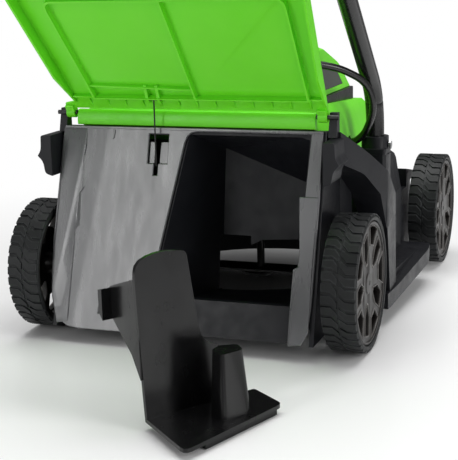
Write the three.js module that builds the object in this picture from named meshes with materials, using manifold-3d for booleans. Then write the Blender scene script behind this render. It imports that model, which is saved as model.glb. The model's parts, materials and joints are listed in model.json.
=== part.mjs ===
// Battery push mower with a rear discharge flap, built in millimetres with +Z up.
// The mower faces +Y. Ground is Z = 0 and the rear axle's centre is above Y = 0 before the last shift.
import * as THREE from 'three';
import { ConvexGeometry } from 'three/addons/geometries/ConvexGeometry.js';
import { mergeVertices } from 'three/addons/utils/BufferGeometryUtils.js';
import Module from 'manifold-3d';

const wasm = await Module();
wasm.setup();

// ---- driving dimensions -------------------------------------------------------------------
const GAP = 0.4; // clearance between touching pieces
const ORIGIN_Y = -36; // middle of the whole length, so the origin is under the middle

const WHEEL_RADIUS = 90;
const WHEEL_WIDTH = 46;
const RIM_RADIUS = 68;
const AXLE_Z = 90;
const WHEEL_BORE = 6.4;
const REAR = { y: 0, wheelX: 218, armX: 187.5, pivotY: 48 };
const FRONT = { y: 492, wheelX: 227, armX: 194, pivotY: 540 };
const PIVOT_Z = 36;
const ARM_THICKNESS = 4;
const AXLE_ROD = 5;
const STUB = 6;
const LINK_Z = 76;

const DECK_HALF = 206;
const DECK_BOTTOM = 22;
const DECK_PLATE_TOP = 130;
const WALL = 5;
const CHAMBER = { y: 270, radius: 201, top: 125 };
const PILLAR = { rear: 104, front: 163, x: 238 };
const SIDE_WALL = { front: 394, x: 201 }; // the low wall ahead of the right pillar

const PANEL_FOOT = { y: -80, z: 22 };
const PANEL_TOP = { y: -5, z: 290 };
const PANEL_TILT = Math.atan2(PANEL_TOP.z - PANEL_FOOT.z, PANEL_TOP.y - PANEL_FOOT.y);
const PANEL_THICKNESS = 4;

const FLAP_AXIS = { y: 2, z: 302 };
const FLAP_OPEN = THREE.MathUtils.degToRad(122);
const FLAP_LENGTH = 215;
const FLAP_LEFT = { root: -165, tip: -207 }; // the flap's left edge flares out towards its tip
const FLAP_RIGHT = { root: 184.6, tip: 188 };
const HINGE_ROD = 3;

const COVER_HALF = 168;
const LID = { half: 148, rear: 60, front: 260, base: 315 };
const LID_HINGE = { y: 276, z: 304 };

const TUBE = 12.5;
const TUBE_WALL = 1.8;
const HANDLE_X = 205;
const UPPER_X = 178;
const SOCKET = { y: 170, base: 231.5, top: 256 };
const HANDLE_KNEE = { y: 155, z: 324 };
const FOLD = { y: -120, z: 566 };
const HANDLE_DIR = new THREE.Vector2(-0.751, 0.660).normalize();
const HANDLE_TOP = 690; // from the fold pivot to the cross bar

const CABLE = 5;
const BATTERY = { x: 38, y0: 108, y1: 212, z0: 218, z1: 330 };
const MOTOR = { radius: 60, z0: 131, z1: 204, shaft: 6 };
const BLADE_Z = 26;

// ---- small tools ----------------------------------------------------------------------------
function solid(geometry) {
  const bare = geometry.index ? geometry.toNonIndexed() : geometry.clone();
  bare.deleteAttribute('normal');
  bare.deleteAttribute('uv');
  const merged = mergeVertices(bare, 1e-4);
  const mesh = new wasm.Mesh({
    numProp: 3,
    vertProperties: new Float32Array(merged.attributes.position.array),
    triVerts: new Uint32Array(merged.index.array),
  });
  return new wasm.Manifold(mesh);
}

function toGeometry(body) {
  const mesh = body.getMesh();
  const geometry = new THREE.BufferGeometry();
  geometry.setAttribute('position', new THREE.BufferAttribute(mesh.vertProperties, 3));
  geometry.setIndex(new THREE.BufferAttribute(mesh.triVerts, 1));
  return geometry;
}

const join = (...bodies) => bodies.reduce((sum, body) => sum.add(body));
const cut = (body, ...tools) => tools.reduce((rest, tool) => rest.subtract(tool), body);

function box([x0, x1], [y0, y1], [z0, z1]) {
  const shape = new THREE.BoxGeometry(x1 - x0, y1 - y0, z1 - z0);
  shape.translate((x0 + x1) / 2, (y0 + y1) / 2, (z0 + z1) / 2);
  return solid(shape);
}

// A round bar between two heights on an axis, 'x', 'y' or 'z', through the point `at`.
function bar(axis, radius, from, to, at = [0, 0], sides = 20) {
  const shape = new THREE.CylinderGeometry(radius, radius, to - from, sides);
  const middle = (from + to) / 2;
  if (axis === 'x') shape.rotateZ(Math.PI / 2).translate(middle, at[0], at[1]);
  if (axis === 'y') shape.translate(at[0], middle, at[1]);
  if (axis === 'z') shape.rotateX(Math.PI / 2).translate(at[0], at[1], middle);
  return solid(shape);
}

// A closed outline whose corners are rounded; a point may hold its own radius.
function outline(points, radius = 0) {
  const shape = new THREE.Shape();
  points.forEach(([x, y, own = radius], i) => {
    const corner = new THREE.Vector2(x, y);
    const before = new THREE.Vector2(...points.at(i - 1).slice(0, 2));
    const after = new THREE.Vector2(...points[(i + 1) % points.length].slice(0, 2));
    const towards = (end) => corner.clone().lerp(end, Math.min(own / corner.distanceTo(end), 0.48));
    const start = towards(before);
    if (i === 0) shape.moveTo(start.x, start.y);
    else shape.lineTo(start.x, start.y);
    if (own > 0) shape.quadraticCurveTo(x, y, towards(after).x, towards(after).y);
  });
  shape.closePath();
  return shape;
}

// An outline drawn in plane 'xy', 'yz' or 'xz' and drawn out between two values of the third axis.
function prism(plane, points, from, to, radius = 0) {
  const shape = points instanceof THREE.Shape ? points : outline(points, radius);
  const body = new THREE.ExtrudeGeometry(shape, { depth: to - from, bevelEnabled: false, curveSegments: 3 });
  const [X, Y, Z] = [[1, 0, 0], [0, 1, 0], [0, 0, 1]].map((v) => new THREE.Vector3(...v));
  const frame = new THREE.Matrix4();
  if (plane === 'xy') frame.makeBasis(X, Y, Z).setPosition(0, 0, from);
  if (plane === 'yz') frame.makeBasis(Y, Z, X).setPosition(from, 0, 0);
  if (plane === 'xz') frame.makeBasis(X, Z, Y.clone().negate()).setPosition(0, to, 0);
  return solid(body.applyMatrix4(frame));
}

const handed = (points, side) => points.map(([x, ...rest]) => [side * x, ...rest]);
const mirrored = (points) => [...points, ...points.map(([x, ...rest]) => [-x, ...rest]).toReversed()];

function circle(radius, sides) {
  const middle = new THREE.Vector2();
  const corner = (i) => new THREE.Vector2(radius, 0).rotateAround(middle, (2 * Math.PI * i) / sides);
  return new THREE.Shape(Array.from({ length: sides }, (_, i) => corner(i)));
}

// A path that steps only through its own points, so a straight stretch is one step long.
class StepPath extends THREE.Curve {
  constructor(points) {
    super();
    this.points = points;
    this.steps = points.length - 1;
  }

  getPoint(t, target = new THREE.Vector3()) {
    const at = t * this.steps;
    const i = Math.min(Math.floor(at), this.steps - 1);
    return target.lerpVectors(this.points[i], this.points[i + 1], at - i);
  }

  getPointAt(u, target) {
    return this.getPoint(u, target);
  }

  getTangentAt(u, target = new THREE.Vector3()) {
    const i = Math.round(u * this.steps);
    const [before, after] = [Math.max(i - 1, 0), Math.min(i + 1, this.steps)];
    return target.subVectors(this.points[after], this.points[before]).normalize();
  }
}

// Straight stretches with rounded knees of `knee` steps each.
function kneePath(points, bend, knee = 5) {
  const at = points.map((p) => new THREE.Vector3(...p));
  const route = [at[0]];
  for (let i = 1; i < at.length - 1; i += 1) {
    const into = at[i].clone().lerp(at[i - 1], bend / at[i].distanceTo(at[i - 1]));
    const out = at[i].clone().lerp(at[i + 1], bend / at[i].distanceTo(at[i + 1]));
    route.push(...new THREE.QuadraticBezierCurve3(into, at[i], out).getPoints(knee));
  }
  return new StepPath([...route, at.at(-1)]);
}

// A smooth curve through every point, with its first and last stretch left straight.
const smoothPath = (points, steps) => {
  const [first, ...rest] = points.map((p) => new THREE.Vector3(...p));
  const curve = new THREE.CatmullRomCurve3(rest.slice(0, -1));
  return new StepPath([first, ...curve.getSpacedPoints(steps), rest.at(-1)]);
};

function sweep(path, radius, sides = 10) {
  return solid(new THREE.ExtrudeGeometry(circle(radius, sides), { steps: path.steps, extrudePath: path }));
}

// A hollow tube: the same path, drawn a little longer, is taken out of it.
function hollowTube(points, bend) {
  const longer = [[points[1], points[0]], [points.at(-2), points.at(-1)]].map(([inner, end]) => {
    const way = new THREE.Vector3(...end).sub(new THREE.Vector3(...inner)).setLength(2);
    return new THREE.Vector3(...end).add(way).toArray();
  });
  const inside = [longer[0], ...points.slice(1, -1), longer[1]];
  return sweep(kneePath(points, bend), TUBE).subtract(sweep(kneePath(inside, bend), TUBE - TUBE_WALL));
}

// A body turned or moved by a three.js matrix.
function placed(body, matrix) {
  return solid(toGeometry(body).applyMatrix4(matrix));
}

function lathe(points, segments = 28) {
  const profile = points.map(([r, z]) => new THREE.Vector2(r, z));
  const shape = new THREE.LatheGeometry([...profile, profile[0]], segments);
  return solid(shape.rotateX(Math.PI / 2));
}

const onHandle = (distance, aside = 0) => ({
  y: FOLD.y + HANDLE_DIR.x * distance - HANDLE_DIR.y * aside,
  z: FOLD.z + HANDLE_DIR.y * distance + HANDLE_DIR.x * aside,
});

// ---- finishes -------------------------------------------------------------------------------
const finish = (color, roughness, metalness = 0) => ({ color, roughness, metalness });
const GREEN = finish(0x6fe52a, 0.38);
const DECK_BLACK = finish(0x2b2c30, 0.5);
const PANEL_GREY = finish(0x77787c, 0.35);
const BLACK = finish(0x141416, 0.45);
const RUBBER = finish(0x1f2123, 0.8);
const RIM_GREY = finish(0x2e2a28, 0.42);
const STEEL = finish(0x9a9da1, 0.35, 1);
const TUBE_BLACK = finish(0x18181a, 0.35, 0.2);
const SMOKE = finish(0x10220c, 0.12);
const RED = finish(0xb3261c, 0.4);

const mower = new THREE.Group();

function add(name, body, look, at = [0, 0, 0], tilt = 0) {
  const material = new THREE.MeshStandardMaterial(look);
  const mesh = new THREE.Mesh(toGeometry(body), material);
  mesh.name = name;
  mesh.position.set(...at);
  mesh.rotation.x = tilt;
  mower.add(mesh);
}

const SIDES = [['left', -1], ['right', 1]];
const span = (side, near, far) => (side > 0 ? [near, far] : [-far, -near]);

// ---- deck -----------------------------------------------------------------------------------
// The line between the deck and the green cover, seen from the side.
const COVER_LINE = [[6, 286], [60, 256], [130, 232], [195, 231.5], [330, 214], [440, 164], [562, 140]];
// The deck's rear end stands just in front of the panel's back.
const behindPanel = (z) => PANEL_FOOT.y + (z - PANEL_FOOT.z) / Math.tan(PANEL_TILT) + PANEL_THICKNESS + 1;

function deckHull() {
  const plan = mirrored([
    [183, -84, 8], [183, 98], [DECK_HALF, 112], [DECK_HALF, 346], [190, 356], [190, 520, 40], [150, 566, 60],
  ]);
  const tub = prism('xy', plan, DECK_BOTTOM, 150);
  const shoulderPlan = mirrored([[183, 60], [DECK_HALF, 150], [DECK_HALF, 346], [190, 356], [186, 470, 30]]);
  const section = mirrored([[DECK_HALF, 140], [DECK_HALF - 1, 150], [196, 196], [174, 240], [174, 300]]);
  const shoulder = prism('xy', shoulderPlan, 140, 290).intersect(prism('xz', section, 50, 480));
  const rearBox = box([-183, 183], [-90, 130], [60, 284]);
  const wallFoot = [[386, DECK_BOTTOM + 2], [330, DECK_BOTTOM + 2]];
  const wallSide = [...wallFoot, [330, 139], [SIDE_WALL.front, 108], [SIDE_WALL.front, 33]];
  const sideWall = prism('yz', wallSide, 186, SIDE_WALL.x);
  const sideParts = [fender, pillar, socketBoss, beam, beamRib, archBump];
  const bothSides = SIDES.flatMap(([, side]) => sideParts.map((part) => part(side)));
  return join(tub, shoulder, rearBox, sideWall, ...bothSides);
}

function fender(side) {
  const plan = [[170, 6], [198, 8], [231, 90], [PILLAR.x, 108, 6], [237, 190], [170, 192]];
  const profile = [[6, 284], [62, 250, 20], [108, 217], [157, 178], [157, 150], [PILLAR.rear, 140], [90, 189],
    [55, 222, 10], [6, 243]];
  return prism('xy', handed(plan, side), 120, 290).intersect(prism('yz', profile, -250, 250));
}

// The pillar leans forward below the fender and ends on the beam between the wheels.
function pillar(side) {
  const profile = [[PILLAR.rear, 150], [PILLAR.rear + 2, 216], [157, 178], [PILLAR.front, 48],
    [PILLAR.front - 2, DECK_BOTTOM + 2], [128, DECK_BOTTOM + 2], [114, 104]];
  return prism('yz', profile, ...span(side, 190, PILLAR.x - 1));
}

function socketBoss(side) {
  const [x0, x1] = span(side, HANDLE_X - 20, HANDLE_X + 20);
  const foot = [[x0, SOCKET.y - 20], [x1, SOCKET.y - 20], [x1, SOCKET.y + 20], [x0, SOCKET.y + 20]];
  return prism('xy', foot, 150, SOCKET.base, 12);
}

function beam(side) {
  const plan = handed([[195, 110], [PILLAR.x, 108], [252, 334, 8], [246, 374, 6], [188, 376]], side);
  const profile = [[108, 24], [128, 24], [335, 36], [376, 38], [376, 58], [335, 58], [160, 46], [108, 46]];
  return prism('xy', plan, DECK_BOTTOM, 60).intersect(prism('yz', profile, -260, 260));
}

function beamRib(side) {
  const plan = handed([[195, 160], [228, 160], [236, 330, 6], [188, 336]], side);
  return prism('xy', plan, 36, 59);
}

function archBump(side) {
  const profile = [[352, 120], [352, 150, 20], [376, 172, 20], [470, 168, 40], [540, 140]];
  return prism('yz', profile, ...span(side, 150, 189.5));
}

// The chute narrows from the panel's opening to the wall behind the blade.
// `extra` thickens it to the left and down.
function chuteSpace(extra) {
  const mouth = [[-44, 47], [-44, 68], [-5, 279], [162, 279], [157, 119], [150, 112], [150, 47]];
  const throat = [[7, 47], [18, 247], [134, 203], [152, 196], [150, 47]];
  const grown = ([x, z]) => (x < 100 ? [x - extra, z === 47 ? z - extra + 1 : z] : [x, z]);
  const outer = mouth.map(grown).map(([x, z]) => new THREE.Vector3(x, behindPanel(z) - 8, z));
  const inner = throat.map(grown).map(([x, z]) => new THREE.Vector3(x, 76, z));
  return solid(new ConvexGeometry([...outer, ...inner]));
}

function deckCavities() {
  const chamber = bar('z', CHAMBER.radius, 0, CHAMBER.top, [0, CHAMBER.y], 44);
  const nose = prism('xy', mirrored([[184, 494], [184, 518, 30], [148, 558, 50]]), 0, 118);
  const baySection = mirrored([[200, DECK_PLATE_TOP], [200, 150], [190, 194], [166, 236], [166, 320]]);
  const motorBay = prism('xz', baySection, 92, 462);
  const arch = prism('xz', [[9, 47], [9, 91, 30], [68, 120], [124, 124], [150, 124], [150, 47]], 60, 200);
  const sillSpace = box([0, 177], [-90, 60], [0, 43]);
  const leftSpace = prism('yz', [[-90, 0], [-90, 150], [-10, 275], [52, 275], [52, 0]], -177, 2);
  const leftHollow = leftSpace.subtract(chuteSpace(WALL));
  const motorHole = bar('z', 18, 120, 135, [0, CHAMBER.y]);
  const holes = [REAR, FRONT].map(({ pivotY }) => bar('x', AXLE_ROD + 0.6, -215, 215, [pivotY, PIVOT_Z], 12));
  const linkTunnel = join(
    box([-226, -184], [88, 132], [58, 92]),
    box([-226, -DECK_HALF], [120, 200], [58, 92]),
  );
  const leverSlot = box([-224, -DECK_HALF], [215, 300], [20, 62]);
  const rooms = [chamber, nose, motorBay, chuteSpace(0), arch, sillSpace, leftHollow];
  return [...rooms, motorHole, ...holes, linkTunnel, leverSlot];
}

function deckShell() {
  const rearLine = [[behindPanel(0), 0], [behindPanel(284), 284]];
  const belowCover = [...rearLine, ...COVER_LINE.map(([y, z]) => [y, z - GAP]), [580, 139], [580, 0]];
  const hull = deckHull().intersect(prism('yz', belowCover, -260, 260));
  const sillBack = [[-52, 69], [-40, 50], [-40, 43], [-62, 43], [-68, 24]];
  const sill = prism('yz', [[behindPanel(24), 24], [behindPanel(69), 69], ...sillBack], -43, 149.4);
  const posts = SIDES.map(([, side]) => box(span(side, 184.5, 195), [-6, 14], [277, 307.5]));
  const rodHole = bar('x', HINGE_ROD + 0.4, -201, 201, [FLAP_AXIS.y, FLAP_AXIS.z], 12);
  const aheadOfPanel = [[behindPanel(0), 0], [behindPanel(320), 320], [400, 320], [400, 0]];
  const frontOfPanel = prism('yz', aheadOfPanel, -260, 260);
  const postsCut = join(...posts).intersect(frontOfPanel);
  const [skirtRound, skirtRoom] = [[CHAMBER.radius + 6, 10, 26], [CHAMBER.radius, 0, 30]]
    .map(([radius, low, high]) => bar('z', radius, low, high, [0, CHAMBER.y], 44));
  const skirt = cut(skirtRound, skirtRoom, box([-220, 220], [0, 250], [0, 40]));
  return cut(join(cut(hull, ...deckCavities()), sill, skirt, postsCut), rodHole);
}
add('deck_shell', deckShell(), DECK_BLACK);

// ---- rear panel: drawn flat with its foot at the origin, then tilted --------------------------
const panelAt = (z) => (z - PANEL_FOOT.z) / Math.sin(PANEL_TILT);
const STAY_X = -47;

function rearPanel() {
  const edge = [[-170, 0, 24], [-187, 40, 20], [-190, 120], [-186, panelAt(270)], [-184, panelAt(285.5)]];
  const rightEdge = [[179, panelAt(285.5)], [180, panelAt(200)], [178, 40, 20], [170, 0, 20]];
  const openingRight = [[150, 68], [150, 70], [151, 116], [157, 119], [161, 210], [164, 281]];
  const openingLeft = [[-5, 281, 14], [-33, 129], [-44, 68]];
  const upright = [...openingRight, ...openingLeft].map(([x, z, ...r]) => [x, panelAt(z), ...r]);
  const opening = [[150, -2], ...upright, [-44, -2]];
  const sheet = prism('xy', [...rightEdge, ...edge], -PANEL_THICKNESS, 0);
  const window = box([-59, -31], [panelAt(239), panelAt(277)], [-9, 9]);
  const slot = box([STAY_X - 3, STAY_X + 3], [panelAt(224), panelAt(245)], [-9, 9]);
  const squareHole = box([-115, -107], [panelAt(43), panelAt(51)], [-9, 9]);
  return cut(sheet, prism('xy', opening, -9, 9), window, slot, squareHole);
}
add('rear_panel', rearPanel(), PANEL_GREY, [0, PANEL_FOOT.y, PANEL_FOOT.z], PANEL_TILT);

// ---- bag hooks --------------------------------------------------------------------------------
const HOOK_FACE = [[188, 276], [203, 276, 3], [204, 256, 4], [209, 248], [201, 240, 6],
  [199, 224, 5], [188, 221]];
for (const [word, side] of SIDES) {
  add(`bag_hook_${word}`, prism('xz', handed(HOOK_FACE, side), -44, 4), DECK_BLACK);
}

// ---- green cover --------------------------------------------------------------------------------
function coverHull(shrink) {
  const top = [[6, 307], [64, 309], [LID_HINGE.y, 296], [430, 208, 40], [556, 156, 20]];
  const lowered = top.map(([y, z, r = 0]) => [y, z - shrink, r]).toReversed();
  const side = [...COVER_LINE.map(([y, z]) => [y, z - shrink * 2]), ...lowered];
  const section = [[COVER_HALF + 6, 120], [COVER_HALF + 4, 236], [COVER_HALF - 4, 288, 10], [152, 312, 8]];
  const plan = [[COVER_HALF + 8, 0], [COVER_HALF + 8, 300], [150, 500, 60], [110, 562, 60]];
  const inset = (points) => points.map(([x, y, r = 0]) => [x - shrink, y, r]);
  const body = prism('yz', side, -200, 200);
  return body
    .intersect(prism('xz', mirrored(inset(section)), -20, 600))
    .intersect(prism('xy', mirrored(inset(plan)), 80, 340));
}

function motorCover() {
  const rearWall = 4;
  const inner = coverHull(WALL - 1).intersect(box([-200, 200], [7 + rearWall, 600], [0, 400]));
  const lidWell = box([-LID.half - 3, LID.half + 3], [LID.rear - 4, LID.front + 4], [200, 400]);
  const shape = cut(coverHull(0), inner, lidWell);
  const cableHole = bar('x', CABLE + 4.6, 140, 200, [165, 246], 12);
  const hingeEars = SIDES.map(([, side]) => {
    const ear = box(span(side, 16, 30), [LID_HINGE.y - 6, LID_HINGE.y + 6], [288, LID_HINGE.z + 6]);
    return ear.subtract(bar('x', 2.6, -40, 40, [LID_HINGE.y, LID_HINGE.z], 10));
  });
  return cut(join(shape, ...hingeEars), cableHole);
}
add('motor_cover', motorCover(), GREEN);

// ---- rear flap: drawn flat along +Y from its hinge axis, inner face up, then swung open ------------
const FLAP_SKIN = 3;
const FLAP_CORNER = 19; // where the left edge leaves the band that carries the left ear
const EAR = { x0: 171, x1: 182.5, radius: 7 };
const STAY = { s: 28, n: 5, length: 88 };

function flapEdge(side, s) {
  const { root, tip } = side > 0 ? FLAP_RIGHT : FLAP_LEFT;
  return root + ((tip - root) * (s - FLAP_CORNER)) / (FLAP_LENGTH - FLAP_CORNER);
}

// The raised frame on the inner face: two long ribs and the top rib between them, with round corners.
function flapFrame() {
  const outer = [[-132, 30.4], [-160.5, 184, 14], [159.5, 184, 14], [165.6, 30.4]];
  const inner = [[-129.4, 32.4], [-157.6, 181.2, 12], [157, 181.2, 12], [163, 32.4]];
  return prism('xy', outer, -1, 9).subtract(prism('xy', inner, -2, 10));
}

function rearFlap() {
  const root = [[FLAP_RIGHT.root, 8], [-EAR.x1, 8], [-EAR.x1, 15], [FLAP_LEFT.root, FLAP_CORNER]];
  const tip = [[FLAP_LEFT.tip, FLAP_LENGTH, 26], [FLAP_RIGHT.tip, FLAP_LENGTH, 26]];
  const plate = prism('xy', [...root, ...tip], -FLAP_SKIN, 0);
  const rimEnd = FLAP_LENGTH - 8;
  const rimDepth = prism('yz', [[20, -1], [20, 3], [70, 17], [rimEnd, 17], [rimEnd, -1]], -215, 215);
  const rims = SIDES.map(([, side]) => {
    const [near, far] = [20, 196].map((s) => [flapEdge(side, s), s]);
    const wall = [near, far, [far[0] - side * 3, far[1]], [near[0] - side * 3, near[1]]];
    return prism('xy', wall, -1, 20).intersect(rimDepth);
  });
  const tipRim = box([-176, 164], [FLAP_LENGTH - 3.5, FLAP_LENGTH - 0.5], [-1, 17]);
  const crossRib = box([-163, 183], [30.2, 32.6], [-1, 6]);
  const shortRib = prism('xy', [[-134, 49], [10, 43.8], [10, 46], [-134, 51.2]], -1, 6);
  const middleRib = prism('xy', [[11.8, 31], [14.2, 31], [0.2, 183], [-2.2, 183]], -1, 8);
  const gussets = Array.from({ length: 13 }, (_, i) => {
    const x = -142 + i * 25.5;
    return prism('yz', [[13, -1], [13, 0.4], [31, 5], [31, -1]], x - 1, x + 1);
  });
  const ears = SIDES.map(([, side]) => join(
    box(span(side, EAR.x0, EAR.x1), [0, 13], [-4, 4]),
    bar('x', EAR.radius, ...span(side, EAR.x0, EAR.x1), [0, 0], 16),
  ));
  const springEar = [[20, -1], [25, 8], [31, 8], [50, 4], [50, -1]];
  const springEars = [STAY_X - 8, STAY_X + 8].map((x) => prism('yz', springEar, x - 2, x + 2));
  const rodHole = bar('x', HINGE_ROD + 0.4, -200, 200, [0, 0], 12);
  const ribs = [tipRim, flapFrame(), crossRib, shortRib, middleRib, ...gussets];
  const body = join(plate, ...rims, ...ribs, ...ears, ...springEars);
  return cut(body, rodHole, bar('x', 1.6, STAY_X - 12, STAY_X + 12, [STAY.s, STAY.n], 10));
}
add('rear_flap', rearFlap(), GREEN, [0, FLAP_AXIS.y, FLAP_AXIS.z], FLAP_OPEN);
add('hinge_rod', bar('x', HINGE_ROD, -198, 198, [FLAP_AXIS.y, FLAP_AXIS.z], 12), STEEL);

// The spring wire turns in two ears of the flap, and its long leg hangs into the panel's slot.
const stayY = FLAP_AXIS.y + STAY.s * Math.cos(FLAP_OPEN) - STAY.n * Math.sin(FLAP_OPEN);
const stayZ = FLAP_AXIS.z + STAY.s * Math.sin(FLAP_OPEN) + STAY.n * Math.cos(FLAP_OPEN);
const stayWire = join(
  bar('x', 1.2, STAY_X - 11, STAY_X + 11, [stayY, stayZ], 8),
  bar('z', 1.1, stayZ - STAY.length, stayZ, [STAY_X, stayY], 8),
);
add('flap_spring_wire', stayWire, STEEL);

// ---- battery bay, lid and what is under it ----------------------------------------------------
function batteryTray() {
  const wall = 4;
  const band = box([-LID.half - 2.4, LID.half + 2.4], [LID.rear - 3.4, LID.front + 3.4], [296, LID.base]);
  const room = box([-LID.half + 6, LID.half - 6], [LID.rear + 5, LID.front - 5], [302, 330]);
  const aroundPack = (by) => [[-BATTERY.x - by, BATTERY.x + by], [BATTERY.y0 - by, BATTERY.y1 + by]];
  const well = box(...aroundPack(wall + 1), [BATTERY.z0 - 5, 300]);
  const packRoom = box(...aroundPack(1), [BATTERY.z0 - 0.5, 330]);
  const buttonHole = box([61.4, 78.6], [149.4, 170.6], [290, 310]);
  const keyHole = box([-80.6, -61.4], [154.4, 165.6], [290, 310]);
  return cut(join(band, well), room, packRoom, buttonHole, keyHole);
}
add('battery_tray', batteryTray(), BLACK);
add('battery_pack', join(
  box([-BATTERY.x, BATTERY.x], [BATTERY.y0, BATTERY.y1], [BATTERY.z0, BATTERY.z1 - 12]),
  box([-BATTERY.x + 8, BATTERY.x - 8], [BATTERY.y0 + 18, BATTERY.y1 - 18], [BATTERY.z1 - 13, BATTERY.z1]),
), BLACK);
add('battery_button', prism('xy', [[62, 150], [78, 150], [78, 170], [62, 170]], 297, 312, 3), GREEN);
const keyBlade = box([-80, -62], [155, 165], [290, 304]);
add('safety_key', join(keyBlade, box([-79, -63], [150, 170], [303.9, 320])), RED);

function lidSolid(inset) {
  const foot = LID.base + GAP - (inset ? 5 : 0);
  const crest = [[72 + inset, 372, 10], [96, 388 - inset, 14], [126, 386 - inset, 14], [221, 352 - inset, 12]];
  const side = [[LID.rear + inset, foot], ...crest, [LID.front - inset, foot]];
  const half = LID.half - inset;
  const section = mirrored([[half, LID.base - 8], [half - 12, 376], [half - 34, 392]]);
  return prism('yz', side, -160, 160).intersect(prism('xz', section, 40, 290));
}
const WINDOW_SIDE = [[92, 322], [92, 366], [196, 352], [224, 322]];

function lidFrame() {
  const shell = lidSolid(0).subtract(lidSolid(4));
  const arm = join(
    box([-15, 15], [LID.front - 8, LID_HINGE.y], [LID.base + GAP, LID.base + 4]),
    box([-15, 15], [LID_HINGE.y - 7, LID_HINGE.y + 5], [LID_HINGE.z - 4, LID.base + 4]),
  );
  const pinHole = bar('x', 2.6, -20, 20, [LID_HINGE.y, LID_HINGE.z], 10);
  return cut(join(shell, arm), prism('yz', WINDOW_SIDE, -170, 170), pinHole);
}
add('lid_frame', lidFrame(), GREEN);
for (const [word, side] of SIDES) {
  const pane = prism('yz', [[92.5, 322.5], [92.5, 365.4], [195.6, 351.5], [223.2, 322.5]], -160, 160);
  const skin = lidSolid(0.6).subtract(lidSolid(3.4)).intersect(pane);
  add(`lid_window_${word}`, skin.intersect(box(span(side, 60, 160), [0, 300], [300, 400])), SMOKE);
}
add('lid_pin', bar('x', 2.2, -31, 31, [LID_HINGE.y, LID_HINGE.z], 10), STEEL);

// ---- motor, fan and blade -------------------------------------------------------------------------
const motorAt = [0, CHAMBER.y, 0];
const canOutside = [[9, MOTOR.z0], [MOTOR.radius, MOTOR.z0], [MOTOR.radius, MOTOR.z1 - 8],
  [52, MOTOR.z1], [0, MOTOR.z1]];
const canInside = [[0, MOTOR.z1 - 10], [50, MOTOR.z1 - 10], [50, MOTOR.z0 + 6], [9, MOTOR.z0 + 6]];
add('motor_can', lathe([...canOutside, ...canInside], 24), BLACK, motorAt);
const shaft = bar('z', MOTOR.shaft, BLADE_Z + 4.8, 192, [0, 0], 14);
add('motor_rotor', join(bar('z', 46, 141, 188, [0, 0], 20), shaft), STEEL, motorAt);

function coolingFan() {
  const hub = lathe([[MOTOR.shaft + 0.3, 96], [16, 96], [16, 112], [MOTOR.shaft + 0.3, 112]], 14);
  const disc = lathe([[14, 109], [58, 109], [58, 112], [14, 112]], 20);
  const vane = box([14, 56], [-1, 1], [97, 110]);
  const turned = (i) => new THREE.Matrix4().makeRotationZ((i * Math.PI) / 3);
  const vanes = Array.from({ length: 6 }, (_, i) => placed(vane, turned(i)));
  return join(hub, disc, ...vanes);
}
add('cooling_fan', coolingFan(), BLACK, motorAt);

function blade() {
  const reach = 196;
  const flat = box([-reach, reach], [-22, 22], [BLADE_Z, BLADE_Z + 4]);
  const tipRise = [[reach - 70, 2], [reach, 2], [reach, 12], [reach - 60, 4]].map(([x, up]) => [x, BLADE_Z + up]);
  const sail = prism('xz', tipRise, 12, 22);
  const otherSail = placed(sail, new THREE.Matrix4().makeRotationZ(Math.PI));
  return cut(join(flat, sail, otherSail), bar('z', 4.4, 10, 70, [0, 0], 12));
}
add('blade', blade(), STEEL, motorAt);
const washer = bar('z', 30, BLADE_Z - 4, BLADE_Z - GAP, [0, 0], 20);
const boltHead = bar('z', 9, BLADE_Z - 11, BLADE_Z - 3.9, [0, 0], 6);
const boltShank = bar('z', 4, BLADE_Z - 1, BLADE_Z + 4.4, [0, 0], 12);
add('blade_bolt', join(washer, boltHead, boltShank), STEEL, motorAt);
const controllerPlan = [[-45, 345], [45, 345], [45, 415], [-45, 415]];
add('controller_box', prism('xy', controllerPlan, DECK_PLATE_TOP + GAP, 156, 4), BLACK);

// ---- axles and cutting height -----------------------------------------------------------------------
function axle({ y, wheelX, armX, pivotY }, linked) {
  const arm = [armX - ARM_THICKNESS / 2, armX + ARM_THICKNESS / 2];
  const bend = [[pivotY, PIVOT_Z], [y, AXLE_Z]];
  const plate = (side) => {
    const [[y0, z0], [y1, z1]] = bend;
    const way = new THREE.Vector2(y1 - y0, z1 - z0).normalize().multiplyScalar(9);
    const strap = [[y0 - way.y, z0 + way.x], [y0 + way.y, z0 - way.x],
      [y1 + way.y, z1 - way.x], [y1 - way.y, z1 + way.x]];
    const ends = bend.map((at) => bar('x', 9, ...span(side, ...arm), at, 14));
    return join(prism('yz', strap, ...span(side, ...arm)), ...ends);
  };
  const stub = (side) => bar('x', STUB, ...span(side, armX - 1, wheelX + 13), [y, AXLE_Z], 14);
  const rod = bar('x', AXLE_ROD, -armX, armX, [pivotY, PIVOT_Z], 12);
  const earTop = [[pivotY + 7, LINK_Z + 7, 4], [pivotY - 7, LINK_Z + 7, 4]];
  const ear = prism('yz', [[pivotY - 7, PIVOT_Z], [pivotY + 7, PIVOT_Z], ...earTop], ...span(-1, ...arm));
  const pin = bar('x', 2.5, -armX - ARM_THICKNESS / 2 - 5.4, -armX, [pivotY, LINK_Z], 10);
  return join(rod, plate(-1), plate(1), stub(-1), stub(1), ...(linked ? [ear, pin] : []));
}
add('rear_axle', axle(REAR, true), STEEL);
add('front_axle', axle(FRONT, true), STEEL);

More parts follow.
